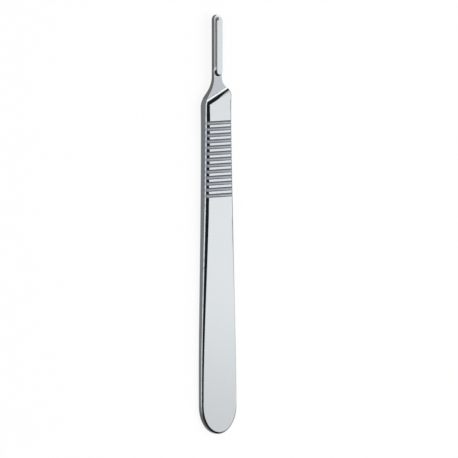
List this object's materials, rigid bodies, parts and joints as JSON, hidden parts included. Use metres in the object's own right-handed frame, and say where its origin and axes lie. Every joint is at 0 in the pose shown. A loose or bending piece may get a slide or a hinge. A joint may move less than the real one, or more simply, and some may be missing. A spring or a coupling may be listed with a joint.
{
  "type": "scalpel handle",
  "caption": "Flat steel scalpel handle with cross grooves for grip, a rounded tail and a slotted boss that takes a detachable blade.",
  "frame": {"origin": "middle of the footprint, on the plane of the flat back of the tail", "axes": "+X along the handle towards the blade end, +Z out of the front face that carries the boss, +Y towards the side where the shoulder sits further back"},
  "size_m": [0.125, 0.0132, 0.0045],
  "materials": {
    "stainless_steel": "fine satin, with brighter rounded edges"
  },
  "bodies": {
    "root": {"handle": "stainless_steel"}
  },
  "joints": []
}
